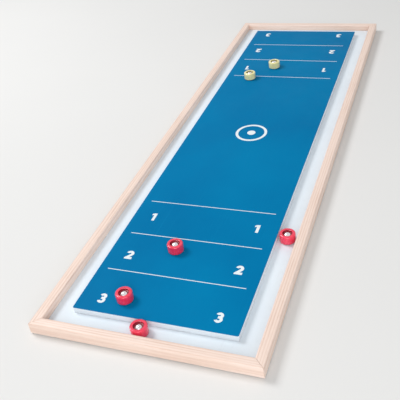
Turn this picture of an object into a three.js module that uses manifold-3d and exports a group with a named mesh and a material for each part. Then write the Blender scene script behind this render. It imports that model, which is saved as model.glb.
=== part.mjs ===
// Tabletop shuffleboard of wood: a mitred frame round a sunk gutter, a raised playing field,
// and six pucks that each run on one caged steel ball.
// Millimetres. X runs across the board, Y from the near end to the far end, Z up.
// The origin is on the table under the middle of the board.

import * as THREE from 'three';
import { mergeVertices } from 'three/addons/utils/BufferGeometryUtils.js';
import Module from 'manifold-3d';

const wasm = await Module();
wasm.setup();

// Fits and cuts
const fitGap = 0.3;            // between pieces that are let into one another
const mitreGap = 0.3;          // the fine open line of a glued mitre
const overrun = 1;             // how far a cutter runs past the face it cuts

// Playing field
const fieldWidth = 218;
const fieldLength = 890;
const fieldCorner = 2;         // radius of the board's upright corners
const gutterWidth = 27;
const gutterDepth = 9;         // from the field down to the gutter's floor
const sheetThickness = 0.6;

// Frame
const railWidth = 13.5;
const railAboveField = 3;
const railOuterRound = 2;
const railInnerRound = 1.5;
const railBottomChamfer = 0.6;
const grooveDepth = 5;         // how far the base panel is let into a rail
const baseThickness = 3;
const baseSetUp = 1.2;         // from the rail's underside up to the panel

// Corner keys
const keyLength = 7;           // across the mitre
const keyWidth = 6;            // along the mitre
const keyThickness = 2.4;
const keyEase = 0.5;           // small chamfer on the key's corners
const keyBelowTop = 5.5;        // from the rail's top to the middle of the key

// Screws that hold the playing board
const screwHeadRadius = 3;
const screwHeadDepth = 1.5;
const screwShankRadius = 1.5;
const screwPointLength = 2;
const screwTipCover = 2.4;     // board left over a screw's point
const screwSideInset = 24;     // from the field's side edge
const screwEndInset = 32;      // from the field's end edge
const screwRows = 4;

// Feet
const footHeight = 1.4;
const footRadius = 5;
const footTaper = 0.5;
const footEndInset = 38;       // from the board's end to the end feet

// Pucks
const puckRadius = 11;
const puckBottomEase = 0.8;
const puckTopRound = 1.7;
const ballRadius = 6.35;
const ballShowsBelow = 0.7;    // how far the ball stands below the body
const rimAboveBall = 0.4;
const restGap = 0.3;           // between the ball and what it runs on
const openingGap = 0.35;       // round the ball, at the puck's rim
const openingEase = 0.5;
const moatDraft = 0.4;         // how far the opening narrows down to the moat's floor
const moatBelowLip = 1;        // the moat is the dark ring round the ball's crown
const lipHold = 1.6;           // how far the lip reaches in over the ball
const lipLand = 0.3;           // the lip's short upright face
const lipWidth = 0.5;
const retainerThickness = 2.1;
const retainerWall = 1.45;     // from the ball's cage to the outside of the ring
const retainerInset = 0.4;     // from the body's underside up to the ring
const beadHeight = 0.4;        // the ring's snap bead
const beadThickness = 1;
const ballCageGap = 0.3;       // round the ball, in the body and in the ring

// Where the pucks stand: shares of the field's width from its left edge, and of its length
// from the near end for the red ones and from the far end for the yellow ones
const redFieldShares = [[0.42, 0.144], [0.284, 0.03]];
const yellowFieldShares = [[0.392, 0.21], [0.227, 0.27]];
const nearGutterPuckShare = 0.45;
const sideGutterPuckShare = 0.21;

// Facets
const lathePieces = 26;
const ballPieces = 20;
const ballRings = 10;
const smallPieces = 10;
const footPieces = 16;
const arcPieces = 3;
const socketPieces = 3;

// Worked out from the sizes above
const outerWidth = fieldWidth + 2 * (gutterWidth + railWidth);
const outerLength = fieldLength + 2 * (gutterWidth + railWidth);
const railBottom = footHeight;
const baseBottom = railBottom + baseSetUp;
const gutterFloor = baseBottom + baseThickness;
const fieldTop = gutterFloor + gutterDepth;
const railTop = fieldTop + railAboveField;
const railHeight = railTop - railBottom;
const coreThickness = gutterDepth - sheetThickness;
const screwLength = baseThickness + coreThickness - screwTipCover;
const gutterMiddleX = (fieldWidth + gutterWidth) / 2;
const gutterMiddleY = (fieldLength + gutterWidth) / 2;
const ballCentre = restGap + ballRadius;
const bodyBottom = restGap + ballShowsBelow;
const bodyTop = ballCentre + ballRadius + rimAboveBall;
const cageRadius = ballRadius + ballCageGap;
const openingRadius = ballRadius + openingGap;
const lipRadius = ballRadius - lipHold;
const lipAngle = Math.acos(lipRadius / cageRadius);
const lipHeight = ballCentre + cageRadius * Math.sin(lipAngle) + lipLand;
const retainerRadius = cageRadius + retainerWall;

// Booleans

function solidFrom(geometry) {
  const bare = geometry.clone();
  bare.deleteAttribute('normal');
  bare.deleteAttribute('uv');
  const merged = mergeVertices(bare);
  const vertProperties = new Float32Array(merged.attributes.position.array);
  const triVerts = new Uint32Array(merged.index.array);
  return new wasm.Manifold(new wasm.Mesh({ numProp: 3, vertProperties, triVerts }));
}

function geometryFrom(solid) {
  const mesh = solid.getMesh();
  const geometry = new THREE.BufferGeometry();
  geometry.setAttribute('position', new THREE.BufferAttribute(mesh.vertProperties, 3));
  geometry.setIndex(new THREE.BufferAttribute(mesh.triVerts, 1));
  const faceted = geometry.toNonIndexed();
  faceted.computeVertexNormals();
  return faceted;
}

function cutAway(geometry, cutters) {
  let solid = solidFrom(geometry);
  for (const cutter of cutters) {
    solid = solid.subtract(solidFrom(cutter));
  }
  return geometryFrom(solid);
}

// Shapes used by more than one piece

function turned(outline, pieces) {
  const points = outline.map(([radius, height]) => new THREE.Vector2(radius, height));
  const geometry = new THREE.LatheGeometry(points, pieces);
  geometry.rotateX(Math.PI / 2);
  return geometry;
}

function arcPoints(centreRadius, centreHeight, radius, fromAngle, toAngle, pieces) {
  const points = [];
  for (let i = 0; i <= pieces; i += 1) {
    const angle = fromAngle + ((toAngle - fromAngle) * i) / pieces;
    points.push([centreRadius + radius * Math.cos(angle), centreHeight + radius * Math.sin(angle)]);
  }
  return points;
}

function slab(width, length, thickness, corner) {
  const x = width / 2;
  const y = length / 2;
  const outline = new THREE.Shape();
  outline.moveTo(-x + corner, -y);
  outline.lineTo(x - corner, -y);
  outline.absarc(x - corner, -y + corner, corner, -Math.PI / 2, 0, false);
  outline.lineTo(x, y - corner);
  outline.absarc(x - corner, y - corner, corner, 0, Math.PI / 2, false);
  outline.lineTo(-x + corner, y);
  outline.absarc(-x + corner, y - corner, corner, Math.PI / 2, Math.PI, false);
  outline.lineTo(-x, -y + corner);
  outline.absarc(-x + corner, -y + corner, corner, Math.PI, Math.PI * 1.5, false);
  return new THREE.ExtrudeGeometry(outline, {
    depth: thickness,
    bevelEnabled: false,
    curveSegments: arcPieces,
  });
}

function screwPlaces() {
  const places = [];
  const x = fieldWidth / 2 - screwSideInset;
  const endY = fieldLength / 2 - screwEndInset;
  for (let row = 0; row < screwRows; row += 1) {
    const y = -endY + (2 * endY * row) / (screwRows - 1);
    places.push([-x, y], [x, y]);
  }
  return places;
}

// The frame. A rail lies along X with its outer face on y = 0 and its inner face towards +Y.

function railSection() {
  const section = new THREE.Shape();
  const grooveLow = baseSetUp - fitGap;
  const grooveHigh = baseSetUp + baseThickness + fitGap;
  const grooveBack = railWidth - grooveDepth;
  section.moveTo(railBottomChamfer, 0);
  section.lineTo(railWidth - railBottomChamfer, 0);
  section.lineTo(railWidth, railBottomChamfer);
  section.lineTo(railWidth, grooveLow);
  section.lineTo(grooveBack, grooveLow);
  section.lineTo(grooveBack, grooveHigh);
  section.lineTo(railWidth, grooveHigh);
  section.lineTo(railWidth, railHeight - railInnerRound);
  section.absarc(railWidth - railInnerRound, railHeight - railInnerRound, railInnerRound, 0, Math.PI / 2, false);
  section.lineTo(railOuterRound, railHeight);
  section.absarc(railOuterRound, railHeight - railOuterRound, railOuterRound, Math.PI / 2, Math.PI, false);
  section.lineTo(0, railBottomChamfer);
  return section;
}

function mitreCutter(length) {
  const slack = mitreGap / Math.SQRT2;
  const outside = length / 2 + overrun;
  const cut = new THREE.Shape();
  cut.moveTo(length / 2 - slack + overrun, -overrun);
  cut.lineTo(outside + overrun, -overrun);
  cut.lineTo(outside + overrun, railWidth + overrun);
  cut.lineTo(length / 2 - slack - railWidth - overrun, railWidth + overrun);
  const cutter = new THREE.ExtrudeGeometry(cut, { depth: railHeight + 2 * overrun, bevelEnabled: false });
  cutter.translate(0, 0, -overrun);
  return cutter;
}

function keySlotCutter(length, end) {
  const long = keyLength + 2 * fitGap;
  const wide = keyWidth + 2 * fitGap;
  const thick = keyThickness + 2 * fitGap;
  const cutter = new THREE.BoxGeometry(long, wide, thick);
  cutter.rotateZ((end * Math.PI) / 4);
  cutter.translate((end * (length - railWidth)) / 2, railWidth / 2, railHeight - keyBelowTop);
  return cutter;
}

function turnedEndForEnd(cutter) {
  return cutter.clone().rotateY(Math.PI).translate(0, 0, railHeight);
}

function railGeometry(length) {
  const blank = new THREE.ExtrudeGeometry(railSection(), {
    depth: length,
    bevelEnabled: false,
    curveSegments: arcPieces,
  });
  const along = new THREE.Matrix4().makeBasis(
    new THREE.Vector3(0, 1, 0),
    new THREE.Vector3(0, 0, 1),
    new THREE.Vector3(1, 0, 0),
  );
  blank.applyMatrix4(along);
  blank.translate(-length / 2, 0, 0);
  const mitre = mitreCutter(length);
  const mitres = [mitre, turnedEndForEnd(mitre)];
  const slots = [keySlotCutter(length, 1), keySlotCutter(length, -1)];
  return cutAway(blank, [...mitres, ...slots]);
}

function keyGeometry() {
  const key = slab(keyLength, keyWidth, keyThickness, keyEase);
  key.translate(0, 0, -keyThickness / 2);
  return key;
}

// The bed

function baseGeometry() {
  const letIn = 2 * (railWidth - grooveDepth + fitGap);
  const panel = slab(outerWidth - letIn, outerLength - letIn, baseThickness, fieldCorner);
  const hole = turned([
    [0, -overrun],
    [screwHeadRadius + fitGap, -overrun],
    [screwHeadRadius + fitGap, fitGap],
    [screwShankRadius + fitGap, screwHeadDepth + fitGap],
    [screwShankRadius + fitGap, baseThickness + overrun],
    [0, baseThickness + overrun],
  ], smallPieces);
  const holes = screwPlaces().map(([x, y]) => hole.clone().translate(x, y, 0));
  return cutAway(panel, holes);
}

function boardGeometry() {
  const core = slab(fieldWidth, fieldLength, coreThickness, fieldCorner);
  const reach = screwLength - baseThickness + fitGap;
  const pilot = turned([
    [0, -overrun],
    [screwShankRadius + fitGap, -overrun],
    [screwShankRadius + fitGap, reach - screwPointLength],
    [0, reach],
  ], smallPieces);
  const pilots = screwPlaces().map(([x, y]) => pilot.clone().translate(x, y, 0));
  return cutAway(core, pilots);
}

function screwGeometry() {
  return turned([
    [0, 0],
    [screwHeadRadius, 0],
    [screwShankRadius, screwHeadDepth],
    [screwShankRadius, screwLength - screwPointLength],
    [0, screwLength],
  ], smallPieces);
}

function footGeometry() {
  return turned([
    [0, 0],
    [footRadius - footTaper, 0],
    [footRadius, footTaper],
    [footRadius, footHeight],
    [0, footHeight],
  ], footPieces);
}

// The pucks. Each is built on its running surface at z = 0, with its axis on the origin.

function puckBodyGeometry() {
  const seatRadius = retainerRadius + fitGap;
  const ringBottom = bodyBottom + retainerInset;
  const ringTop = ringBottom + retainerThickness;
  const beadMiddle = ringBottom + retainerThickness / 2;
  const grooveHalf = beadThickness / 2 + fitGap;
  return turned([
    [puckRadius - puckBottomEase, bodyBottom],
    [puckRadius, bodyBottom + puckBottomEase],
    ...arcPoints(puckRadius - puckTopRound, bodyTop - puckTopRound, puckTopRound, 0, Math.PI / 2, arcPieces),
    [openingRadius + openingEase, bodyTop],
    [openingRadius, bodyTop - openingEase],
    [openingRadius - moatDraft, lipHeight - moatBelowLip],
    [lipRadius + lipWidth, lipHeight],
    [lipRadius, lipHeight],
    ...arcPoints(0, ballCentre, cageRadius, lipAngle, 0, socketPieces),
    [cageRadius, ringTop + fitGap],
    [seatRadius, ringTop + fitGap],
    [seatRadius, beadMiddle + grooveHalf],
    [seatRadius + beadHeight, beadMiddle],
    [seatRadius, beadMiddle - grooveHalf],
    [seatRadius, bodyBottom],
    [puckRadius - puckBottomEase, bodyBottom],
  ], lathePieces);
}

function boreRadiusAt(height) {
  const below = ballCentre - height;
  return Math.sqrt(cageRadius * cageRadius - below * below);
}

function retainerGeometry() {
  const bottom = bodyBottom + retainerInset;
  const top = bottom + retainerThickness;
  const middle = bottom + retainerThickness / 2;
  return turned([
    [boreRadiusAt(bottom), bottom],
    [retainerRadius, bottom],
    [retainerRadius, middle - beadThickness / 2],
    [retainerRadius + beadHeight, middle],
    [retainerRadius, middle + beadThickness / 2],
    [retainerRadius, top],
    [boreRadiusAt(top), top],
    [boreRadiusAt(middle), middle],
    [boreRadiusAt(bottom), bottom],
  ], lathePieces);
}

function ballGeometry() {
  const ball = new THREE.SphereGeometry(ballRadius, ballPieces, ballRings);
  ball.rotateX(Math.PI / 2);
  return ball;
}

// Finishes

function finish(colour, roughness, metalness) {
  return new THREE.MeshStandardMaterial({ color: colour, roughness, metalness });
}

const paleWood = () => finish('#e9cdb4', 0.55, 0);
const whiteLacquer = () => finish('#dfe4ea', 0.4, 0);
const bluePrint = () => finish('#0a74a8', 0.35, 0);
const steel = () => finish('#d5d6da', 0.15, 1);
const darkSteel = () => finish('#9a9da2', 0.35, 1);
const redPlastic = () => finish('#e02c48', 0.25, 0);
const yellowPlastic = () => finish('#efe6a2', 0.25, 0);
const darkRubber = () => finish('#3a3a3c', 0.8, 0);

// Assembly

const board = new THREE.Group();

function add(parent, name, geometry, material) {
  const mesh = new THREE.Mesh(geometry, material);
  mesh.name = name;
  parent.add(mesh);
  return mesh;
}

function addFrame() {
  const longRail = railGeometry(outerLength);
  const shortRail = railGeometry(outerWidth);
  const rails = [
    ['near_rail', shortRail, 0, -outerLength / 2, 0],
    ['right_rail', longRail, outerWidth / 2, 0, Math.PI / 2],
    ['far_rail', shortRail, 0, outerLength / 2, Math.PI],
    ['left_rail', longRail, -outerWidth / 2, 0, -Math.PI / 2],
  ];
  for (const [name, geometry, x, y, turn] of rails) {
    const rail = add(board, name, geometry, paleWood());
    rail.position.set(x, y, railBottom);
    rail.rotation.z = turn;
  }
}

function addKeys() {
  const key = keyGeometry();
  const corners = [['near_left', -1, -1], ['near_right', 1, -1], ['far_left', -1, 1], ['far_right', 1, 1]];
  for (const [corner, sideX, sideY] of corners) {
    const mesh = add(board, `${corner}_corner_key`, key, paleWood());
    const x = sideX * (outerWidth - railWidth) / 2;
    const y = sideY * (outerLength - railWidth) / 2;
    mesh.position.set(x, y, railTop - keyBelowTop);
    mesh.rotation.z = (-sideX * sideY * Math.PI) / 4;
  }
}

function addBed() {
  add(board, 'base_panel', baseGeometry(), whiteLacquer()).position.z = baseBottom;
  add(board, 'playing_board', boardGeometry(), whiteLacquer()).position.z = gutterFloor;
  const sheet = slab(fieldWidth, fieldLength, sheetThickness, fieldCorner);
  add(board, 'printed_sheet', sheet, bluePrint()).position.z = fieldTop - sheetThickness;
}

function addScrews() {
  const screw = screwGeometry();
  screwPlaces().forEach(([x, y], i) => {
    add(board, `board_screw_${i + 1}`, screw, darkSteel()).position.set(x, y, baseBottom);
  });
}

function addFeet() {
  const foot = footGeometry();
  const x = (outerWidth - railWidth) / 2;
  const endY = outerLength / 2 - footEndInset;
  const rows = [['near', -endY], ['middle', 0], ['far', endY]];
  for (const [row, y] of rows) {
    add(board, `${row}_left_foot`, foot, darkRubber()).position.set(-x, y, 0);
    add(board, `${row}_right_foot`, foot, darkRubber()).position.set(x, y, 0);
  }
}

const bodyShape = puckBodyGeometry();
const ballShape = ballGeometry();
const retainerShape = retainerGeometry();

function addPuck(name, x, y, surface, plastic) {
  const puck = new THREE.Group();
  puck.position.set(x, y, surface);
  add(puck, `${name}_body`, bodyShape, plastic());
  add(puck, `${name}_retainer`, retainerShape, plastic());
  add(puck, `${name}_ball`, ballShape, steel()).position.z = ballCentre;
  board.add(puck);
}

function fromLeft(share) {
  return fieldWidth * (share - 1 / 2);
}

function fromNearEnd(share) {
  return fieldLength * (share - 1 / 2);
}

function addPucks() {
  redFieldShares.forEach(([across, along], i) => {
    addPuck(`red_puck_${i + 1}`, fromLeft(across), fromNearEnd(along), fieldTop, redPlastic);
  });
  addPuck('red_puck_3', fromLeft(nearGutterPuckShare), -gutterMiddleY, gutterFloor, redPlastic);
  addPuck('red_puck_4', gutterMiddleX, fromNearEnd(sideGutterPuckShare), gutterFloor, redPlastic);
  yellowFieldShares.forEach(([across, along], i) => {
    addPuck(`yellow_puck_${i + 1}`, fromLeft(across), -fromNearEnd(along), fieldTop, yellowPlastic);
  });
}

addFrame();
addKeys();
addBed();
addScrews();
addFeet();
addPucks();

export default board;
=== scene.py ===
# The look of a tabletop shuffleboard: pale mitred frame, white gutter, blue field with white marks
# and six pucks that each roll on a caged steel ball. Metres, +Y from the near end to the far end.
import math
import bmesh
import bpy
from mathutils import Matrix, Quaternion, Vector


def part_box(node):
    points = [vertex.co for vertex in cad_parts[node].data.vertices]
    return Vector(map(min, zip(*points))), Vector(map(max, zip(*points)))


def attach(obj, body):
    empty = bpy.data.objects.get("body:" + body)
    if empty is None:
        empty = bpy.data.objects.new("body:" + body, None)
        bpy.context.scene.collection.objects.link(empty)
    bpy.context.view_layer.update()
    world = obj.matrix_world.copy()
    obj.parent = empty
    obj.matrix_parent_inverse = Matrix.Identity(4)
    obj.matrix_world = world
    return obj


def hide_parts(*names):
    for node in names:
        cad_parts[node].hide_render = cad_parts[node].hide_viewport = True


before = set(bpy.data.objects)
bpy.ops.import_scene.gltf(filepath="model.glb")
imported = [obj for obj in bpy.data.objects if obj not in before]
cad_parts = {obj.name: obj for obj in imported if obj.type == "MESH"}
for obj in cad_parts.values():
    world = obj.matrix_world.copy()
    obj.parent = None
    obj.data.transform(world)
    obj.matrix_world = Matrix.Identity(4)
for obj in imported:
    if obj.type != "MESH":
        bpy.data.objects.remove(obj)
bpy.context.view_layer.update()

mm = 0.001
sheetLow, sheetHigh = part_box("printed_sheet")
fieldTop = sheetHigh.z
print("frame loaded, the field lies", round(fieldTop / mm, 1), "mm above the table")


def sizeOf(node):
    low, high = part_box(node)
    return high - low


def centreOf(node):
    low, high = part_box(node)
    return (low + high) / 2


# Camera

camera = {
    "place": (300.0 * mm, -914.0 * mm, 571.0 * mm),
    "aim": (-23.5 * mm, -200.8 * mm, 14.6 * mm),
    "roll": -8.8,       # degrees, the board leans to the right in the picture
    "lens": 58.0,       # millimetres, on the sensor below
    "sensor": 36,
    "near": 0.05,
    "far": 50,
}


def makeCamera():
    data = bpy.data.cameras.new("camera")
    data.lens = camera["lens"]
    data.sensor_width = camera["sensor"]
    data.clip_start = camera["near"]
    data.clip_end = camera["far"]
    obj = bpy.data.objects.new("camera", data)
    bpy.context.scene.collection.objects.link(obj)
    obj.location = camera["place"]
    look = Vector(camera["aim"]) - Vector(camera["place"])
    lean = Quaternion((0, 0, 1), math.radians(camera["roll"]))
    obj.rotation_mode = "QUATERNION"
    obj.rotation_quaternion = look.to_track_quat("-Z", "Y") @ lean
    bpy.context.scene.camera = obj


makeCamera()


# Node helpers, for materials and for geometry

def feed(tree, socket, value):
    if isinstance(value, bpy.types.NodeSocket):
        tree.links.new(value, socket)
    else:
        socket.default_value = value


def node(tree, kind, settings=None, **inputs):
    made = tree.nodes.new(kind)
    for key, value in (settings or {}).items():
        setattr(made, key, value)
    for key, value in inputs.items():
        feed(tree, made.inputs[key.replace("_", " ")], value)
    return made


def maths(tree, operation, first, second=0.0):
    made = node(tree, "ShaderNodeMath", {"operation": operation})
    feed(tree, made.inputs[0], first)
    feed(tree, made.inputs[1], second)
    return made.outputs["Value"]


def newMaterial(name):
    mat = bpy.data.materials.new(name)
    mat.use_nodes = True
    tree = mat.node_tree
    coords = tree.nodes.new("ShaderNodeTexCoord").outputs["Object"]
    return mat, tree, tree.nodes["Principled BSDF"], coords


def stretched(tree, coords, scale, shift=(0, 0, 0), turn=(0, 0, 0)):
    made = node(tree, "ShaderNodeMapping", Vector=coords, Location=shift, Rotation=turn, Scale=scale)
    return made.outputs["Vector"]


def noise(tree, coords, scale, detail=4.0, roughness=0.5, distortion=0.0):
    made = node(
        tree, "ShaderNodeTexNoise", Vector=coords, Scale=scale, Detail=detail,
        Roughness=roughness, Distortion=distortion,
    )
    return made.outputs["Fac"]


def weighed(tree, first, firstShare, second, secondShare):
    first = maths(tree, "MULTIPLY", first, firstShare)
    return maths(tree, "ADD", first, maths(tree, "MULTIPLY", second, secondShare))


def ramp(tree, value, stops):
    made = node(tree, "ShaderNodeValToRGB", Fac=value)
    elements = made.color_ramp.elements
    while len(elements) < len(stops):
        elements.new(0.5)
    for element, (place, colour) in zip(elements, stops):
        element.position = place
        element.color = (*colour, 1)
    return made.outputs["Color"]


def between(tree, value, fromLow, fromHigh, toLow, toHigh):
    made = node(
        tree, "ShaderNodeMapRange", Value=value, From_Min=fromLow, From_Max=fromHigh,
        To_Min=toLow, To_Max=toHigh,
    )
    return made.outputs["Result"]


def mixed(tree, amount, base, over):
    made = node(tree, "ShaderNodeMix", {"data_type": "RGBA"})
    sockets = {socket.identifier: socket for socket in made.inputs}
    feed(tree, sockets["Factor_Float"], amount)
    feed(tree, sockets["A_Color"], base)
    feed(tree, sockets["B_Color"], (*over, 1) if isinstance(over, tuple) else over)
    return made.outputs[2]


def dress(tree, shader, colour, roughness, height, depth):
    tree.links.new(colour, shader.inputs["Base Color"])
    tree.links.new(roughness, shader.inputs["Roughness"])
    relief = node(tree, "ShaderNodeBump", Height=height, Distance=depth)
    tree.links.new(relief.outputs["Normal"], shader.inputs["Normal"])


# Materials. A noise is written as its scale, detail, roughness and distortion, as far as they are set

spread = (0.3, 0.7)      # nearly all of a noise's values lie between these


def paleWood(name, along):
    look = {
        "tones": [
            (0.3, (0.763, 0.558, 0.459)),      # the darker part of a growth ring
            (0.46, (0.862, 0.673, 0.575)),
            (0.62, (0.912, 0.738, 0.65)),
        ],
        "pore": (0.515, 0.352, 0.253),
        "pith": (45 * mm, 45 * mm, 55 * mm),   # how far the log's heart lies off the board's middle
        "ringWidth": 3.4 * mm,
        "ringWander": 5.0,
        "ringDetail": 3.0,
        "ringDetailScale": 0.6,
        "ringStretch": 0.07,                   # how slowly rings and streaks change along the grain
        "streakStretch": 0.03,
        "streaks": (450, 5.0, 0.6, 0.3),
        "clouds": (11.0, 3.0),
        "ringShare": 0.22,                     # what each of the three adds to the tone
        "streakShare": 0.55,
        "cloudShare": 0.23,
        "pores": (2400, 2.0),
        "poreEdge": (0.62, 0.76),
        "poreDepth": 0.45,
        "roughness": (0.56, 0.42),
        "relief": 0.09 * mm,
        "coat": 0.12,
        "coatRoughness": 0.35,
    }
    mat, tree, shader, coords = newMaterial(name)
    slow, slower = look["ringStretch"], look["streakStretch"]
    ringScale = (slow, 1, 1) if along == "X" else (1, slow, 1)
    grainScale = (slower, 1, 1) if along == "X" else (1, slower, 1)
    grain = stretched(tree, coords, grainScale)
    rings = node(
        tree, "ShaderNodeTexWave", {"wave_type": "RINGS", "rings_direction": along},
        Vector=stretched(tree, coords, ringScale, look["pith"]),
        Scale=math.pi / 10 / look["ringWidth"],      # at scale 1 the rings lie pi / 10 apart
        Distortion=look["ringWander"], Detail=look["ringDetail"], Detail_Scale=look["ringDetailScale"],
    ).outputs["Fac"]
    streaks = noise(tree, grain, *look["streaks"])
    cloud = noise(tree, coords, *look["clouds"])
    tone = weighed(tree, rings, look["ringShare"], streaks, look["streakShare"])
    tone = maths(tree, "ADD", tone, maths(tree, "MULTIPLY", cloud, look["cloudShare"]))
    pores = noise(tree, grain, *look["pores"])
    pores = between(tree, pores, *look["poreEdge"], 0.0, look["poreDepth"])
    dress(
        tree, shader, mixed(tree, pores, ramp(tree, tone, look["tones"]), look["pore"]),
        between(tree, streaks, *spread, *look["roughness"]),
        maths(tree, "SUBTRACT", streaks, pores), look["relief"],
    )
    shader.inputs["Coat Weight"].default_value = look["coat"]
    shader.inputs["Coat Roughness"].default_value = look["coatRoughness"]
    return mat


def whiteLacquer():
    look = {
        "whites": [(0.35, (0.76, 0.84, 0.91)), (0.65, (0.80, 0.88, 0.945))],
        "rubbed": (0.60, 0.64, 0.68),
        "rubs": (60, 6.0, 0.65),
        "rubStretch": 0.15,
        "rubEdge": (0.60, 0.78),
        "rubDepth": 0.35,
        "clouds": (8.0, 3.0),
        "roughness": (0.30, 0.42),
        "peel": (420, 2.0, 0.4),
        "peelDepth": 0.02 * mm,
        "bareBelow": -0.5,                     # faces that look further down than this are bare hardboard
        "browns": [(0.38, (0.21, 0.13, 0.075)), (0.62, (0.33, 0.21, 0.125))],
        "fibres": (700, 5.0, 0.7),
        "fibreShare": 0.6,
        "flecks": (90, 4.0, 0.6),
        "fleckShare": 0.4,
        "bareRoughness": 0.4,                  # what bare board adds to the lacquer's
        "fibreRelief": 6.0,
    }
    mat, tree, shader, coords = newMaterial("whiteLacquer")
    cloud = noise(tree, coords, *look["clouds"])
    rubs = noise(tree, stretched(tree, coords, (1, look["rubStretch"], 1)), *look["rubs"])
    rubs = between(tree, rubs, *look["rubEdge"], 0.0, look["rubDepth"])
    white = mixed(tree, rubs, ramp(tree, cloud, look["whites"]), look["rubbed"])
    fibres = noise(tree, coords, *look["fibres"])
    flecks = noise(tree, coords, *look["flecks"])
    board = weighed(tree, fibres, look["fibreShare"], flecks, look["fleckShare"])
    brown = ramp(tree, board, look["browns"])
    facing = node(tree, "ShaderNodeNewGeometry").outputs["Normal"]
    facing = node(tree, "ShaderNodeSeparateXYZ", Vector=facing).outputs["Z"]
    under = maths(tree, "LESS_THAN", facing, look["bareBelow"])
    satin = between(tree, cloud, *spread, *look["roughness"])
    satin = maths(tree, "ADD", satin, maths(tree, "MULTIPLY", under, look["bareRoughness"]))
    rough = maths(tree, "MULTIPLY", maths(tree, "MULTIPLY", fibres, under), look["fibreRelief"])
    peel = noise(tree, coords, *look["peel"])
    dress(
        tree, shader, mixed(tree, under, white, brown), satin,
        maths(tree, "ADD", peel, rough), look["peelDepth"],
    )
    return mat


def bluePrint():
    look = {
        "blues": [(0.32, (0.0005, 0.168, 0.385)), (0.66, (0.0005, 0.205, 0.435))],
        "clouds": (5.0, 4.0, 0.55),
        "track": (0.008, 0.265, 0.50),         # fine lines that the pucks have rubbed along the field
        "tracks": (620, 3.0, 0.6),
        "trackStretch": 0.012,
        "trackLean": 0.02,                     # radians off the board's length
        "trackEdge": (0.60, 0.78),
        "trackDepth": 0.30,
        "trackRoughness": 0.3,
        "smears": (17, 5.0, 0.6),
        "roughness": (0.44, 0.56),
        "weave": (1500, 2.0),
        "weaveDepth": 0.006 * mm,
        "shine": 0.02,                         # low, so that the field keeps its blue towards the far end
    }
    mat, tree, shader, coords = newMaterial("bluePrint")
    cloud = noise(tree, coords, *look["clouds"])
    lanes = stretched(tree, coords, (1, look["trackStretch"], 1), turn=(0, 0, look["trackLean"]))
    worn = noise(tree, lanes, *look["tracks"])
    worn = between(tree, worn, *look["trackEdge"], 0.0, look["trackDepth"])
    smears = noise(tree, coords, *look["smears"])
    satin = between(tree, smears, *spread, *look["roughness"])
    satin = maths(tree, "ADD", satin, maths(tree, "MULTIPLY", worn, look["trackRoughness"]))
    dress(
        tree, shader, mixed(tree, worn, ramp(tree, cloud, look["blues"]), look["track"]), satin,
        noise(tree, coords, *look["weave"]), look["weaveDepth"],
    )
    shader.inputs["Specular IOR Level"].default_value = look["shine"]
    return mat


def whiteInk():
    look = {
        "whites": [(0.3, (0.62, 0.77, 0.85)), (0.46, (0.84, 0.90, 0.92))],      # thin ink is bluer
        "patches": (230, 4.0, 0.65),
        "roughness": (0.55, 0.42),
        "depth": 0.006 * mm,
    }
    mat, tree, shader, coords = newMaterial("whiteInk")
    patches = noise(tree, coords, *look["patches"])
    dress(
        tree, shader, ramp(tree, patches, look["whites"]),
        between(tree, patches, *spread, *look["roughness"]), patches, look["depth"],
    )
    return mat


def clearPlastic(name, bright, deep, glow):
    look = {
        "swirl": (90, 3.0, 0.5, 1.2),
        "swirlEdge": (0.32, 0.64),
        "rubs": (420, 5.0, 0.6),
        "rubEdge": (0.35, 0.7),
        "roughness": (0.12, 0.26),
        "depth": 0.012 * mm,
        "reach": 3.5 * mm,      # how far light spreads inside the plastic
        "glowShare": 0.4,
        # painted shade: where the moat attribute marks the recess round the ball, colour and glow are
        # turned down
        "paintedMoatGlowShare": 0.05,
        "paintedMoatShade": 0.45,      # painted shade: the recess wall round the ball is darkened to this share of the deep colour
        "coat": 0.5,
        "coatRoughness": 0.08,
    }
    mat, tree, shader, coords = newMaterial(name)
    swirl = noise(tree, coords, *look["swirl"])
    rubs = noise(tree, coords, *look["rubs"])
    moat = node(tree, "ShaderNodeAttribute", {"attribute_name": "moat"}).outputs["Fac"]
    colour = ramp(tree, swirl, list(zip(look["swirlEdge"], (deep, bright))))
    # painted shade for the recess round the ball
    paintedShade = tuple(c * look["paintedMoatShade"] for c in deep)
    dress(
        tree, shader, mixed(tree, moat, colour, paintedShade),
        between(tree, rubs, *look["rubEdge"], *look["roughness"]), rubs, look["depth"],
    )
    # less glow in the recess, as part of its painted shade
    glowing = between(tree, moat, 0.0, 1.0, look["glowShare"], look["paintedMoatGlowShare"])
    tree.links.new(glowing, shader.inputs["Subsurface Weight"])
    shader.inputs["Subsurface Radius"].default_value = glow
    shader.inputs["Subsurface Scale"].default_value = look["reach"]
    shader.inputs["Coat Weight"].default_value = look["coat"]
    shader.inputs["Coat Roughness"].default_value = look["coatRoughness"]
    return mat


def ballSteel():
    look = {
        "greys": [(0.35, (0.72, 0.70, 0.73)), (0.55, (0.90, 0.88, 0.90))],
        "marks": (330, 5.0, 0.7),
        "roughness": (0.2, 0.09),
        "scratches": (2600, 2.0, 0.6),
        "scratchStretch": 0.1,
        "scratchTurn": (0.4, 0.8, 0.3),
        "depth": 0.003 * mm,
    }
    mat, tree, shader, coords = newMaterial("ballSteel")
    marks = noise(tree, coords, *look["marks"])
    fine = stretched(tree, coords, (1, look["scratchStretch"], 1), turn=look["scratchTurn"])
    dress(
        tree, shader, ramp(tree, marks, look["greys"]), between(tree, marks, *spread, *look["roughness"]),
        noise(tree, fine, *look["scratches"]), look["depth"],
    )
    shader.inputs["Metallic"].default_value = 1
    return mat


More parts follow.
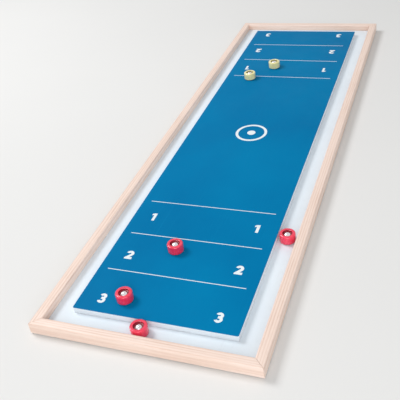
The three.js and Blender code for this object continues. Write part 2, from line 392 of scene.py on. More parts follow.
def zincSteel():
    look = {
        "greys": [(0.35, (0.38, 0.38, 0.38)), (0.6, (0.62, 0.61, 0.57))],
        "spangle": (1300, 3.0, 0.6),
        "roughness": (0.46, 0.3),
        "depth": 0.01 * mm,
    }
    mat, tree, shader, coords = newMaterial("zincSteel")
    spangle = noise(tree, coords, *look["spangle"])
    dress(
        tree, shader, ramp(tree, spangle, look["greys"]),
        between(tree, spangle, *spread, *look["roughness"]), spangle, look["depth"],
    )
    shader.inputs["Metallic"].default_value = 1
    return mat


def darkRubber():
    look = {
        "blacks": [(0.45, (0.04, 0.04, 0.042)), (0.75, (0.10, 0.098, 0.093))],      # clean, then dusty
        "dust": (380, 5.0, 0.7),
        "roughness": (0.7, 0.9),
        "grain": (2200, 2.0),
        "depth": 0.02 * mm,
    }
    mat, tree, shader, coords = newMaterial("darkRubber")
    dust = noise(tree, coords, *look["dust"])
    dress(
        tree, shader, ramp(tree, dust, look["blacks"]), between(tree, dust, *spread, *look["roughness"]),
        noise(tree, coords, *look["grain"]), look["depth"],
    )
    return mat


materials = {
    "woodAcross": paleWood("paleWoodAcross", "X"),
    "woodAlong": paleWood("paleWoodAlong", "Y"),
    "lacquer": whiteLacquer(),
    "blue": bluePrint(),
    "ink": whiteInk(),
    "red": clearPlastic("redPlastic", (0.92, 0.045, 0.115), (0.80, 0.02, 0.065), (1.0, 0.3, 0.35)),
    "yellow": clearPlastic("yellowPlastic", (0.90, 0.84, 0.46), (0.82, 0.73, 0.33), (1.0, 0.9, 0.5)),
    "ball": ballSteel(),
    "zinc": zincSteel(),
    "rubber": darkRubber(),
}
print("materials ready:", len(materials))


# Mesh helpers

def linked(name, mesh):
    obj = bpy.data.objects.new(name, mesh)
    bpy.context.scene.collection.objects.link(obj)
    return obj


def evaluated(obj):
    return bpy.data.meshes.new_from_object(obj.evaluated_get(bpy.context.evaluated_depsgraph_get()))


def meshFrom(name, bm):
    bmesh.ops.recalc_face_normals(bm, faces=bm.faces)
    mesh = bpy.data.meshes.new(name)
    bm.to_mesh(mesh)
    bm.free()
    return mesh


def finished(name, mesh, material, smoothAngle=35):
    bm = bmesh.new()
    bm.from_mesh(mesh)
    mesh = meshFrom(name, bm)
    for polygon in mesh.polygons:
        polygon.use_smooth = True
        polygon.material_index = 0
    mesh.set_sharp_from_angle(angle=math.radians(smoothAngle))
    mesh.materials.clear()
    mesh.materials.append(material)
    return linked(name, mesh)


def fit(piece, body, slotName, *nodes):
    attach(piece, body)
    if nodes:
        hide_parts(*nodes)


def arc(centre, radius, fromAngle, toAngle, pieces):
    points = []
    for i in range(pieces + 1):
        a = math.radians(fromAngle + (toAngle - fromAngle) * i / pieces)
        points.append((centre[0] + radius * math.cos(a), centre[1] + radius * math.sin(a)))
    return points


def loft(name, rings):
    bm = bmesh.new()
    rows = [[bm.verts.new(point) for point in ring] for ring in rings]
    count = len(rows[0])
    for low, high in zip(rows, rows[1:]):
        for i in range(count):
            j = (i + 1) % count
            bm.faces.new((low[i], low[j], high[j], high[i]))
    bm.faces.new(reversed(rows[0]))
    bm.faces.new(rows[-1])
    return meshFrom(name, bm)


def slab(name, size, corner, levels, pieces=8):
    x, y = size.x / 2 - corner, size.y / 2 - corner
    rings = []
    for inset, height in levels:
        outline = []
        for cx, cy, start in ((x, y, 0), (-x, y, 90), (-x, -y, 180), (x, -y, 270)):
            outline += arc((cx, cy), corner - inset, start, start + 90, pieces)
        rings.append([(px, py, height) for px, py in outline])
    return loft(name, rings)


def cutBy(mesh, cutter):
    blank, tool = linked("blank", mesh), linked("cutter", cutter)
    modifier = blank.modifiers.new("cut", "BOOLEAN")
    modifier.operation = "DIFFERENCE"
    modifier.solver = "EXACT"
    modifier.object = tool
    cut = evaluated(blank)
    bpy.data.objects.remove(blank)
    bpy.data.objects.remove(tool)
    return cut


# Frame: four strips with eased edges, mitred, with the panel's groove and the slots for the keys

rail = {
    "outerRound": 2.0 * mm,
    "innerRound": 1.5 * mm,
    "bottomEase": 0.6 * mm,
    "mitreEase": 0.22 * mm,     # makes a fine V along each mitre
    "mitreGap": 0.3 * mm,
    "grooveDepth": 5.0 * mm,
    "fitGap": 0.3 * mm,
    "roundPieces": 8,
    "keyLength": 7.0 * mm,
    "keyWidth": 6.0 * mm,
    "smoothAngle": 40,
}


def railOutline(width, height, grooveLow, grooveHigh):
    outer, inner, ease = rail["outerRound"], rail["innerRound"], rail["bottomEase"]
    back = width - rail["grooveDepth"]
    points = [(ease, 0), (width - ease, 0), (width, ease), (width, grooveLow), (back, grooveLow)]
    points += [(back, grooveHigh), (width, grooveHigh)]
    points += arc((width - inner, height - inner), inner, 0, 90, rail["roundPieces"])
    points += arc((outer, height - outer), outer, 90, 180, rail["roundPieces"])
    points.append((0, ease))
    return points


def shrunk(points, amount):
    moved = []
    for i, point in enumerate(points):
        here = Vector(point)
        arriving = (here - Vector(points[i - 1])).normalized()
        leaving = (Vector(points[(i + 1) % len(points)]) - here).normalized()
        inward = Vector((-arriving.y - leaving.y, arriving.x + leaving.x)).normalized()
        cosine = math.sqrt((1 + arriving.dot(leaving)) / 2)      # of half the turn
        moved.append(tuple(here + inward * amount / cosine))
    return moved


def railBlank(name, length, outline):
    ease = rail["mitreEase"]
    slack = rail["mitreGap"] / math.sqrt(2)
    full = (outline, slack + ease * math.sqrt(2))
    eased = (shrunk(outline, ease), slack)
    stations = []
    for side, order in ((-1, (eased, full)), (1, (full, eased))):
        for points, back in order:
            stations.append([(side * (length / 2 - u - back), u, v) for u, v in points])
    return loft(name, stations)


def keySlots(length, width, low, high):
    gap = 2 * rail["fitGap"]
    size = Matrix.Diagonal((rail["keyLength"] + gap, rail["keyWidth"] + gap, high - low + gap, 1))
    bm = bmesh.new()
    for side in (-1, 1):
        spot = Matrix.Translation((side * (length - width) / 2, width / 2, (low + high) / 2))
        turn = Matrix.Rotation(side * math.pi / 4, 4, "Z")
        bmesh.ops.create_cube(bm, size=1, matrix=spot @ turn @ size)
    return meshFrom("slots", bm)


def makeRail(name, turn, wood):
    low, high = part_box(name)
    panelLow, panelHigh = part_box("base_panel")
    keyLow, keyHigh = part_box("near_left_corner_key")
    size = high - low
    width = min(size.x, size.y)
    length = max(size.x, size.y) + math.sqrt(2) * rail["mitreGap"]
    gap = rail["fitGap"]
    outline = railOutline(width, size.z, panelLow.z - gap - low.z, panelHigh.z + gap - low.z)
    slots = keySlots(length, width, keyLow.z - low.z, keyHigh.z - low.z)
    mesh = cutBy(railBlank(name, length, outline), slots)
    outerFace = {0: (0, low.y), 90: (high.x, 0), 180: (0, high.y), 270: (low.x, 0)}[turn]
    mesh.transform(Matrix.Translation((*outerFace, low.z)) @ Matrix.Rotation(math.radians(turn), 4, "Z"))
    fit(finished(name + "_wood", mesh, materials[wood], rail["smoothAngle"]), "board", "pale_wood", name)


makeRail("near_rail", 0, "woodAcross")
makeRail("right_rail", 90, "woodAlong")
makeRail("far_rail", 180, "woodAcross")
makeRail("left_rail", 270, "woodAlong")
for corner in ("near_left", "near_right", "far_left", "far_right"):
    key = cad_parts[corner + "_corner_key"].data
    key.materials.clear()
    key.materials.append(materials["woodAlong"])
print("frame ready")


# Geometry node trees

def newTree(name, inputs):
    tree = bpy.data.node_groups.new(name, "GeometryNodeTree")
    tree.interface.new_socket("Geometry", in_out="INPUT", socket_type="NodeSocketGeometry")
    for label, kind in inputs.items():
        tree.interface.new_socket(label, in_out="INPUT", socket_type="NodeSocket" + kind)
    tree.interface.new_socket("Geometry", in_out="OUTPUT", socket_type="NodeSocketGeometry")
    return tree, node(tree, "NodeGroupInput").outputs


def endTree(tree, geometry, material):
    real = node(tree, "GeometryNodeRealizeInstances", Geometry=geometry)
    dressed = node(tree, "GeometryNodeSetMaterial", Geometry=real.outputs["Geometry"], Material=material)
    out = node(tree, "NodeGroupOutput")
    tree.links.new(dressed.outputs["Geometry"], out.inputs["Geometry"])


def vector(tree, x=0.0, y=0.0, z=0.0):
    return node(tree, "ShaderNodeCombineXYZ", X=x, Y=y, Z=z).outputs["Vector"]


def joined(tree, *parts):
    made = node(tree, "GeometryNodeJoinGeometry")
    for part in parts:
        tree.links.new(part, made.inputs["Geometry"])
    return made.outputs["Geometry"]


def grown(name, tree, values, points=()):
    mesh = bpy.data.meshes.new(name)
    mesh.from_pydata(points, [(i, i + 1) for i in range(len(points) - 1)], [])
    obj = linked(name, mesh)
    modifier = obj.modifiers.new(name, "NODES")
    modifier.node_group = tree
    sockets = {item.name: item.identifier for item in tree.interface.items_tree if item.in_out == "INPUT"}
    for label, value in values.items():
        modifier[sockets[label]] = value
    made = evaluated(obj)
    bpy.data.objects.remove(obj)
    return made


# One tree turns a profile as on a lathe and sets copies of it out in columns and rows

weldWithin = 0.0001 * mm


def crossRecess(tree, solid, given):
    depth = maths(tree, "MULTIPLY", given["Recess Depth"], 2.0)
    exact = {"operation": "DIFFERENCE", "solver": "EXACT"}
    cut = node(tree, "GeometryNodeMeshBoolean", exact, Mesh_1=solid)
    for x, y in (("Recess Length", "Recess Width"), ("Recess Width", "Recess Length")):
        slot = node(tree, "GeometryNodeMeshCube", Size=vector(tree, given[x], given[y], depth))
        tree.links.new(slot.outputs["Mesh"], cut.inputs["Mesh 2"])
    return cut.outputs["Mesh"]


def latheTree(name, recessed=False):
    inputs = dict.fromkeys(("Pieces", "Columns", "Rows"), "Int")
    inputs.update({"Column Step": "Float", "Row Step": "Float", "First Place": "Vector"})
    if recessed:
        inputs.update({"Recess Length": "Float", "Recess Width": "Float", "Recess Depth": "Float"})
    tree, given = newTree(name, {**inputs, "Material": "Material"})
    profile = given["Geometry"]
    count = node(tree, "GeometryNodeAttributeDomainSize", Geometry=profile).outputs["Point Count"]
    around = maths(tree, "ADD", given["Pieces"], 1.0)
    grid = node(tree, "GeometryNodeMeshGrid", Vertices_X=count, Vertices_Y=around)
    index = node(tree, "GeometryNodeInputIndex").outputs["Index"]
    row = maths(tree, "FLOOR", maths(tree, "DIVIDE", index, around))
    column = maths(tree, "SUBTRACT", index, maths(tree, "MULTIPLY", row, around))
    angle = maths(tree, "MULTIPLY", column, maths(tree, "DIVIDE", 2 * math.pi, given["Pieces"]))
    point = node(
        tree, "GeometryNodeSampleIndex", {"data_type": "FLOAT_VECTOR"}, Geometry=profile, Index=row,
        Value=node(tree, "GeometryNodeInputPosition").outputs["Position"],
    )
    parts = node(tree, "ShaderNodeSeparateXYZ", Vector=point.outputs["Value"]).outputs
    x = maths(tree, "MULTIPLY", parts["X"], maths(tree, "COSINE", angle))
    y = maths(tree, "MULTIPLY", parts["X"], maths(tree, "SINE", angle))
    shaped = node(
        tree, "GeometryNodeSetPosition", Geometry=grid.outputs["Mesh"],
        Position=vector(tree, x, y, parts["Z"]),
    )
    outward = node(tree, "GeometryNodeFlipFaces", Mesh=shaped.outputs["Geometry"])
    solid = node(
        tree, "GeometryNodeMergeByDistance", Geometry=outward.outputs["Mesh"], Distance=weldWithin,
    ).outputs["Geometry"]
    if recessed:
        solid = crossRecess(tree, solid, given)
    rows = node(
        tree, "GeometryNodeMeshLine", Count=given["Rows"], Offset=vector(tree, 0.0, given["Row Step"]),
    )
    line = node(tree, "GeometryNodeInstanceOnPoints", Points=rows.outputs["Mesh"], Instance=solid)
    columns = node(
        tree, "GeometryNodeMeshLine", Count=given["Columns"], Start_Location=given["First Place"],
        Offset=vector(tree, given["Column Step"]),
    )
    block = node(
        tree, "GeometryNodeInstanceOnPoints", Points=columns.outputs["Mesh"],
        Instance=line.outputs["Instances"],
    )
    endTree(tree, block.outputs["Instances"], given["Material"])
    return tree


lathe = latheTree("lathe")
screwLathe = latheTree("screwLathe", recessed=True)


def turned(name, profile, pieces, place, material, tree=lathe, **more):
    values = {
        "Pieces": pieces, "Columns": 1, "Rows": 1, "Column Step": 0.0, "Row Step": 0.0,
        "First Place": tuple(Vector(place)), "Material": material,
    }
    for label, value in more.items():
        values[label.replace("_", " ")] = value
    return grown(name, tree, values, [(radius, 0, height) for radius, height in profile])


# Bed: the white panel let into the frame, the raised white board and the blue sheet on it

bed = {
    "corner": 2.0 * mm,
    "boardEase": 0.25 * mm,
    "sheetRound": 0.25 * mm,
    "sheetPieces": 4,
    "gap": 0.3 * mm,          # round the screws
    "overrun": 1.0 * mm,
    "headRadius": 3.0 * mm,
    "headDepth": 1.5 * mm,
    "shankRadius": 1.5 * mm,
    "pointLength": 2.0 * mm,
    "pieces": 40,
    "screwColumns": 2,
    "screwRows": 4,
}
screwCount = bed["screwColumns"] * bed["screwRows"]
screwNames = [f"board_screw_{i}" for i in range(1, screwCount + 1)]
screwLow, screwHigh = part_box(screwNames[0])
firstScrew = centreOf(screwNames[0])
screwGrid = {
    "Columns": bed["screwColumns"],
    "Rows": bed["screwRows"],
    "Column_Step": centreOf(screwNames[1]).x - firstScrew.x,
    "Row_Step": centreOf(screwNames[bed["screwColumns"]]).y - firstScrew.y,
}


def screwHoles(profile, bottom):
    first = (firstScrew.x, firstScrew.y, bottom)
    return turned("holes", profile, bed["pieces"], first, materials["lacquer"], **screwGrid)


def makePanel():
    low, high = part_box("base_panel")
    head, shank = bed["headRadius"] + bed["gap"], bed["shankRadius"] + bed["gap"]
    through = high.z - low.z + bed["overrun"]
    profile = [(0, -bed["overrun"]), (head, -bed["overrun"]), (head, bed["gap"])]
    profile += [(shank, bed["headDepth"] + bed["gap"]), (shank, through), (0, through)]
    blank = slab("floor_panel", high - low, bed["corner"], [(0, low.z), (0, high.z)])
    mesh = cutBy(blank, screwHoles(profile, low.z))
    fit(finished("floor_panel", mesh, materials["lacquer"]), "board", "white_lacquer", "base_panel")


def makeBoard():
    low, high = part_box("playing_board")
    ease, shank = bed["boardEase"], bed["shankRadius"] + bed["gap"]
    reach = screwHigh.z - low.z + bed["gap"]
    profile = [(0, -bed["overrun"]), (shank, -bed["overrun"])]
    profile += [(shank, reach - bed["pointLength"]), (0, reach)]
    levels = [(ease, low.z), (0, low.z + ease), (0, high.z)]
    blank = slab("raised_board", high - low, bed["corner"], levels)
    mesh = cutBy(blank, screwHoles(profile, low.z))
    fit(finished("raised_board", mesh, materials["lacquer"]), "board", "white_lacquer", "playing_board")


def makeSheet():
    edge = bed["sheetRound"]
    levels = [(0, sheetLow.z)]
    levels += [(edge - u, sheetHigh.z - edge + v) for u, v in arc((0, 0), edge, 0, 90, bed["sheetPieces"])]
    mesh = slab("printed_field", sheetHigh - sheetLow, bed["corner"], levels)
    fit(finished("printed_field", mesh, materials["blue"]), "board", "blue_print", "printed_sheet")


makePanel()
makeBoard()
makeSheet()
print("bed ready")


# White marks: three cross lines and pairs of figures at each end, a ring and a dot at the middle

marks = {
    "zones": 3,
    "zone": 76.5 * mm,
    "threeFromEnd": 23 * mm,     # from the field's end to the middle of each figure
    "twoFromEnd": 107.5 * mm,
    "oneFromEnd": 193 * mm,
    "lineWidth": 1.2 * mm,
    "lineInset": 13 * mm,
    "figureInset": 31 * mm,
    "figureHeight": 16.6 * mm,
    "figureWidth": 11 * mm,
    "stroke": 4.1 * mm,
    "flagReach": 3.0 * mm,       # the flag of the 1, out from its stem
    "flagDrop": 1.7 * mm,
    "flagDepth": 3.4 * mm,
    "twoEnd": 168,               # degrees, where the bowl of the 2 starts and where it runs straight
    "twoLean": -40,
    "threeUpper": 4.9 * mm,      # outer radii of the bowls of the 3
    "threeLower": 5.3 * mm,
    "threeStroke": 3.8 * mm,
    "threeBar": 1.6 * mm,
    "threeEnd": 160,
    "bowlPieces": 18,
    "lowBowlPieces": 20,
    "innerPieces": 14,
    "weldWithin": 0.001 * mm,
    "above": 0.05 * mm,
    "sunk": 0.02 * mm,
    "ringRadius": 27 * mm,
    "ringWidth": 4.6 * mm,
    "dotRadius": 7 * mm,
    "ringPieces": 112,
}


def oneOutline():
    top, right = marks["figureHeight"] / 2, (marks["stroke"] + marks["flagReach"]) / 2
    edge, low = right - marks["stroke"], top - marks["flagDepth"]
    drop = marks["flagDrop"]
    return [
        (right, -top), (right, top), (edge, top), (-right, top - drop), (-right, low - drop), (edge, low),
        (edge, -top),
    ]


def twoOutline():
    top, half, stroke = marks["figureHeight"] / 2, marks["figureWidth"] / 2, marks["stroke"]
    centre, lean = (0, top - half), math.radians(marks["twoLean"])
    slope = math.cos(lean) / math.sin(lean)      # the straight part leaves the bowl along its tangent
    outer = arc(centre, half, marks["twoEnd"], marks["twoLean"], marks["bowlPieces"])
    inner = arc(centre, half - stroke, marks["twoLean"], marks["twoEnd"], marks["innerPieces"])
    base = stroke - top
    meets = outer[-1][0] - (base - outer[-1][1]) / slope
    start = inner[0][1] - (-half - inner[0][0]) * slope
    return outer + [(meets, base), (half, base), (half, -top), (-half, -top), (-half, start)] + inner


def threeOutline():
    top, stroke, end = marks["figureHeight"] / 2, marks["threeStroke"], marks["threeEnd"]
    upper, lower = marks["threeUpper"], marks["threeLower"]
    high, low = top - upper, lower - top
    apart = high - low
    notch = (apart * apart + lower * lower - upper * upper) / (2 * apart)      # above the lower centre
    highNotch = math.degrees(math.asin((notch - apart) / upper))
    lowNotch = math.degrees(math.asin(notch / lower))
    points = arc((0, high), upper, end, highNotch, marks["bowlPieces"])
    points += arc((0, low), lower, lowNotch, -end, marks["lowBowlPieces"])[1:]
    points += arc((0, low), lower - stroke, -end, 90, marks["innerPieces"])
    points += [(-marks["threeBar"], low + lower - stroke), (-marks["threeBar"], high - upper + stroke)]
    return points + arc((0, high), upper - stroke, -90, end, marks["innerPieces"])


def bothEnds(tree, nearEnd, material):
    farEnd = node(tree, "GeometryNodeTransform", Geometry=nearEnd, Rotation=(0, 0, math.pi))
    endTree(tree, joined(tree, nearEnd, farEnd.outputs["Geometry"]), material)


def lineTree():
    inputs = dict.fromkeys(("Line Length", "Line Width", "Ink", "Zone", "First Line"), "Float")
    tree, given = newTree("zoneLines", {"Lines": "Int", **inputs, "Material": "Material"})
    size = vector(tree, given["Line Length"], given["Line Width"], given["Ink"])
    line = node(tree, "GeometryNodeMeshCube", Size=size)
    rows = node(
        tree, "GeometryNodeMeshLine", Count=given["Lines"], Offset=vector(tree, 0.0, given["Zone"]),
        Start_Location=vector(tree, 0.0, given["First Line"], maths(tree, "MULTIPLY", given["Ink"], 0.5)),
    )
    lines = node(
        tree, "GeometryNodeInstanceOnPoints", Points=rows.outputs["Mesh"], Instance=line.outputs["Mesh"],
    )
    bothEnds(tree, lines.outputs["Instances"], given["Material"])
    return tree


def figureTree():
    inputs = dict.fromkeys(("Side", "Place", "Ink", "Weld Within"), "Float")
    tree, given = newTree("figures", {**inputs, "Material": "Material"})
    curve = node(tree, "GeometryNodeMeshToCurve", Mesh=given["Geometry"])
    closed = node(tree, "GeometryNodeSetSplineCyclic", Geometry=curve.outputs["Curve"], Cyclic=True)
    face = node(tree, "GeometryNodeFillCurve", Curve=closed.outputs["Geometry"]).outputs["Mesh"]
    upper = node(
        tree, "GeometryNodeExtrudeMesh", Mesh=face, Offset=vector(tree, z=1.0), Offset_Scale=given["Ink"],
        Individual=False,
    )
    lower = node(tree, "GeometryNodeFlipFaces", Mesh=face)
    solid = node(
        tree, "GeometryNodeMergeByDistance", Distance=given["Weld Within"],
        Geometry=joined(tree, upper.outputs["Mesh"], lower.outputs["Mesh"]),
    ).outputs["Geometry"]
    pair = []
    for side in (given["Side"], maths(tree, "MULTIPLY", given["Side"], -1.0)):
        place = vector(tree, side, given["Place"])
        moved = node(tree, "GeometryNodeTransform", Geometry=solid, Translation=place)
        pair.append(moved.outputs["Geometry"])
    bothEnds(tree, joined(tree, *pair), given["Material"])
    return tree


def inked(name, tree, values, outline=()):
    ink = {"Ink": marks["above"] + marks["sunk"], "Material": materials["ink"]}
    mesh = grown(name, tree, {**values, **ink}, [(x, y, 0) for x, y in outline])
    mesh.transform(Matrix.Translation((0, 0, fieldTop - marks["sunk"])))
    fit(finished(name, mesh, materials["ink"]), "board", "white_lacquer")


def makeZoneMarks():
    size = sheetHigh - sheetLow
    nearEnd = -size.y / 2
    inked("zone_lines", lineTree(), {
        "Lines": marks["zones"], "Line Length": size.x - 2 * marks["lineInset"],
        "Line Width": marks["lineWidth"], "Zone": marks["zone"], "First Line": nearEnd + marks["zone"],
    })
    tree = figureTree()
    figures = {
        "figures_three": (threeOutline(), marks["threeFromEnd"]),
        "figures_two": (twoOutline(), marks["twoFromEnd"]),
        "figures_one": (oneOutline(), marks["oneFromEnd"]),
    }
    for name, (outline, fromEnd) in figures.items():
        inked(name, tree, {
            "Side": size.x / 2 - marks["figureInset"], "Place": nearEnd + fromEnd,
            "Weld Within": marks["weldWithin"],
        }, outline)


def makeCentreMark():
    low, high = -marks["sunk"], marks["above"]
    outer = marks["ringRadius"]
    inner = outer - marks["ringWidth"]
    profiles = {
        "centre_ring": [(outer, low), (outer, high), (inner, high), (inner, low), (outer, low)],
        "centre_dot": [(0, low), (marks["dotRadius"], low), (marks["dotRadius"], high), (0, high)],
    }
    for name, profile in profiles.items():
        mesh = turned(name, profile, marks["ringPieces"], (0, 0, fieldTop), materials["ink"])
        fit(finished(name, mesh, materials["ink"]), "board", "white_lacquer")


makeZoneMarks()
makeCentreMark()
print("field marked")


# Pucks: a moulded body, the snap ring under it and the ball

puck = {
    "reds": 4,
    "yellows": 2,
    "bottomEase": 0.8 * mm,
    "topRound": 1.7 * mm,
    "openingGap": 0.35 * mm,      # round the ball, at the rim
    "openingRound": 0.5 * mm,
    "moatDraft": 0.4 * mm,
    "moatBelowLip": 1.0 * mm,
    "moatRound": 0.35 * mm,
    "paintedShadeMargin": 0.06 * mm,      # how far round the opening the painted shade on its wall reaches
    "lipHold": 1.6 * mm,          # how far the lip reaches in over the ball
    "lipLand": 0.3 * mm,
    "lipWidth": 0.5 * mm,
    "cageGap": 0.3 * mm,
    "beadHeight": 0.4 * mm,
    "beadHalf": 0.5 * mm,
    "ringEase": 0.2 * mm,
    "seamShare": 0.42,            # the mould's parting line, as a share of the body's height
    "seamDepth": 0.07 * mm,
    "seamHalf": 0.12 * mm,
    "pieces": 112,
    "bottomPieces": 5,
    "topPieces": 10,
    "rimPieces": 5,
    "moatPieces": 4,
    "lipPieces": 8,
    "cagePieces": 12,
    "ringPieces": 8,
    "ballPieces": 72,
    "ballRings": 36,
}


def bodyProfile(radius, bottom, top, ball, ballHeight, ring, ringLow, ringHigh):
    gap, lipRound = puck["cageGap"], puck["lipWidth"] / 2
    cage, seat = ball + gap, ring + gap
    lip = ball - puck["lipHold"]
    lipAngle = math.acos(lip / cage)
    lipTop = ballHeight + cage * math.sin(lipAngle) + puck["lipLand"]
    opening, rimRound = ball + puck["openingGap"], puck["openingRound"]
    moat, corner = opening - puck["moatDraft"], puck["moatRound"]
    floor = lipTop - puck["moatBelowLip"]
    seam = bottom + (top - bottom) * puck["seamShare"]
    bead, groove = (ringLow + ringHigh) / 2, puck["beadHalf"] + gap
    ease, topRound, half = puck["bottomEase"], puck["topRound"], puck["seamHalf"]
    points = arc((radius - ease, bottom + ease), ease, -90, 0, puck["bottomPieces"])
    points += [(radius, seam - 2 * half), (radius, seam - half), (radius - puck["seamDepth"], seam)]
    points += [(radius, seam + half), (radius, seam + 2 * half)]
    points += arc((radius - topRound, top - topRound), topRound, 0, 90, puck["topPieces"])
    points += arc((opening + rimRound, top - rimRound), rimRound, 90, 180, puck["rimPieces"])
    points += arc((moat - corner, floor + corner), corner, 0, -90, puck["moatPieces"])
    points += arc((lip + lipRound, lipTop - lipRound), lipRound, 0, 180, puck["lipPieces"])
    points += arc((0, ballHeight), cage, math.degrees(lipAngle), 0, puck["cagePieces"])
    points += [(cage, ringHigh + gap), (seat, ringHigh + gap), (seat, bead + groove)]
    points += [(seat + puck["beadHeight"], bead), (seat, bead - groove), (seat, bottom + puck["ringEase"])]
    points += [(seat + puck["ringEase"], bottom), points[0]]
    return points


def ringProfile(radius, bottom, top, ball, ballHeight):
    cage, ease = ball + puck["cageGap"], puck["ringEase"]
    middle = (bottom + top) / 2
    points = [(radius - ease, bottom), (radius, bottom + ease)]
    points += [(radius, middle - puck["beadHalf"]), (radius + puck["beadHeight"], middle)]
    points += [(radius, middle + puck["beadHalf"]), (radius, top - ease), (radius - ease, top)]
    steps = puck["ringPieces"]
    for i in range(steps + 1):
        height = top + (bottom - top) * i / steps
        points.append((math.sqrt(cage * cage - (ballHeight - height) ** 2), height))
    return points + [points[0]]


# marks the recess round the ball, which the plastic darkens as painted shade
def markPaintedMoatShade(mesh, ballCentre, opening):
    moat = mesh.attributes.new("moat", "FLOAT", "POINT")
    for vertex, mark in zip(mesh.vertices, moat.data):
        away = vertex.co - ballCentre
        mark.value = float(away.z > 0 and away.xy.length < opening + puck["paintedShadeMargin"])


def makePuck(name, ballBody, colour, slotName):
    low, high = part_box(name + "_body")
    ringLow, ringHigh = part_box(name + "_retainer")
    middle = centreOf(name + "_ball")
    ball = sizeOf(name + "_ball").z / 2
    axis = (middle.x, middle.y, 0)
    plastic = materials[colour]
    ring = (ringHigh.y - ringLow.y) / 2 - puck["beadHeight"]
    profile = bodyProfile((high.y - low.y) / 2, low.z, high.z, ball, middle.z, ring, ringLow.z, ringHigh.z)
    mesh = turned("shell", profile, puck["pieces"], axis, plastic)
    # the moat attribute carries the painted shade of the recess round the ball
    markPaintedMoatShade(mesh, middle, ball + puck["openingGap"])
    shell = finished(name + "_shell", mesh, plastic)
    fit(shell, name, slotName, name + "_body")
    profile = ringProfile(ring, ringLow.z, ringHigh.z, ball, middle.z)
    mesh = turned("ring", profile, puck["pieces"], axis, plastic)
    fit(finished(name + "_snap_ring", mesh, plastic), name, slotName, name + "_retainer")
    profile = [(0, -ball)] + arc((0, 0), ball, -90, 90, puck["ballRings"])[1:-1] + [(0, ball)]
    steel = turned("ball", profile, puck["ballPieces"], middle, materials["ball"])
    fit(finished(name + "_steel_ball", steel, materials["ball"]), ballBody, "ball_steel", name + "_ball")


for number in range(1, puck["reds"] + 1):
    makePuck(f"red_puck_{number}", f"red_ball_{number}", "red", "red_plastic")
for number in range(1, puck["yellows"] + 1):
    makePuck(f"yellow_puck_{number}", f"yellow_ball_{number}", "yellow", "yellow_plastic")
print("pucks ready")


# Underneath: rubber feet in three rows and countersunk screws in four

foot = {"ease": 0.6 * mm, "topEase": 0.15 * mm, "easePieces": 6, "pieces": 48}
recess = {"length": 3.4 * mm, "width": 0.75 * mm, "depth": 1.0 * mm, "headEdge": 0.15 * mm}


def makeFeet():
    rows, sides = ("near", "middle", "far"), ("left", "right")
    names = [f"{row}_{side}_foot" for row in rows for side in sides]
    low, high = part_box(names[0])
    radius, height = (high.y - low.y) / 2, high.z - low.z
    ease, topEase = foot["ease"], foot["topEase"]
    profile = [(0, 0)] + arc((radius - ease, ease), ease, -90, 0, foot["easePieces"])
    profile += [(radius, height - topEase), (radius - topEase, height), (0, height)]
    first = centreOf(names[0])
    mesh = turned(
        "rubber_feet", profile, foot["pieces"], (first.x, first.y, low.z), materials["rubber"],
        Columns=len(sides), Column_Step=centreOf(names[1]).x - first.x,
        Rows=len(rows), Row_Step=centreOf(names[len(sides)]).y - first.y,
    )
    fit(finished("rubber_feet", mesh, materials["rubber"]), "board", "foot_rubber", *names)


def makeScrews():
    head, shank, edge = bed["headRadius"], bed["shankRadius"], recess["headEdge"]
    length = screwHigh.z - screwLow.z
    profile = [(0, 0), (head - edge, 0), (head, edge), (shank, bed["headDepth"])]
    profile += [(shank, length - bed["pointLength"]), (0, length)]
    mesh = turned(
        "countersunk_screws", profile, bed["pieces"], (firstScrew.x, firstScrew.y, screwLow.z),
        materials["zinc"], screwLathe, **screwGrid,
        Recess_Length=recess["length"], Recess_Width=recess["width"], Recess_Depth=recess["depth"],
    )
    fit(finished("countersunk_screws", mesh, materials["zinc"]), "board", "screw_steel", *screwNames)


makeFeet()
makeScrews()
print("underside ready")


# Floor, lights and world

studio = {
    "floor": (0.80, 0.80, 0.79),
    "floorDim": 0.985,
    "floorClouds": (3.0, 2.0),
    "floorRoughness": (0.85, 0.95),
    "floorRelief": 0.1 * mm,
    "floorHalf": 12.0,
    "fadeFrom": 1.1,       # metres from the middle, where the floor starts to fade into the backdrop
    "fadeTo": 2.6,
    "backdrop": 0.80,      # what the camera and shiny surfaces see behind the floor
    "world": 0.48,
    "key": {"place": (-1.6, 0.15, 1.95), "size": 0.9, "power": 31.5},
    "fill": {"place": (0.8, -2.1, 1.0), "size": 1.8, "power": 27},
}


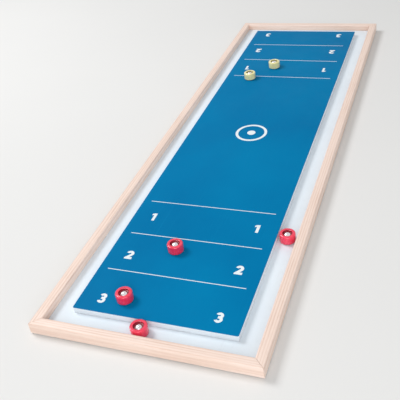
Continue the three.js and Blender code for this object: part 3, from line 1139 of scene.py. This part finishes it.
def makeFloor():
    pale = studio["floor"]
    dim = tuple(c * studio["floorDim"] for c in pale)
    mat, tree, shader, coords = newMaterial("paleFloor")
    cloud = noise(tree, coords, *studio["floorClouds"])
    colour = ramp(tree, cloud, list(zip(spread, (dim, pale))))
    rough = between(tree, cloud, *spread, *studio["floorRoughness"])
    dress(tree, shader, colour, rough, cloud, studio["floorRelief"])
    away = node(tree, "ShaderNodeVectorMath", {"operation": "LENGTH"})
    feed(tree, away.inputs[0], coords)
    faded = between(tree, away.outputs["Value"], studio["fadeFrom"], studio["fadeTo"], 0.0, 1.0)
    seen = node(tree, "ShaderNodeLightPath").outputs["Is Camera Ray"]
    level = studio["backdrop"]
    glow = node(tree, "ShaderNodeEmission", Color=(level, level, level, 1))
    blend = node(tree, "ShaderNodeMixShader", Fac=maths(tree, "MULTIPLY", faded, seen))
    feed(tree, blend.inputs[1], shader.outputs["BSDF"])
    feed(tree, blend.inputs[2], glow.outputs["Emission"])
    feed(tree, tree.nodes["Material Output"].inputs["Surface"], blend.outputs["Shader"])
    half = studio["floorHalf"]
    mesh = bpy.data.meshes.new("floor")
    corners = [(-half, -half, 0), (half, -half, 0), (half, half, 0), (-half, half, 0)]
    mesh.from_pydata(corners, [], [(0, 1, 2, 3)])
    mesh.materials.append(mat)
    linked("floor", mesh)


def makeLight(name):
    light = studio[name]
    data = bpy.data.lights.new(name, "AREA")
    data.shape = "SQUARE"
    data.size = light["size"]
    data.energy = light["power"]
    obj = linked(name, data)
    obj.location = light["place"]
    obj.rotation_mode = "QUATERNION"
    obj.rotation_quaternion = (-Vector(light["place"])).to_track_quat("-Z", "Y")


def makeWorld():
    world = bpy.data.worlds.new("world")
    world.use_nodes = True
    tree = world.node_tree
    rays = node(tree, "ShaderNodeLightPath").outputs
    seen = maths(tree, "MAXIMUM", rays["Is Camera Ray"], rays["Is Glossy Ray"])
    seen = maths(tree, "MAXIMUM", seen, rays["Is Transmission Ray"])
    background = tree.nodes["Background"]
    background.inputs["Color"].default_value = (1, 1, 1, 1)
    level = between(tree, seen, 0.0, 1.0, studio["world"], studio["backdrop"])
    tree.links.new(level, background.inputs["Strength"])
    bpy.context.scene.world = world


makeFloor()
makeLight("key")
makeLight("fill")
makeWorld()
bpy.context.scene.view_settings.view_transform = "Standard"
print("studio ready")
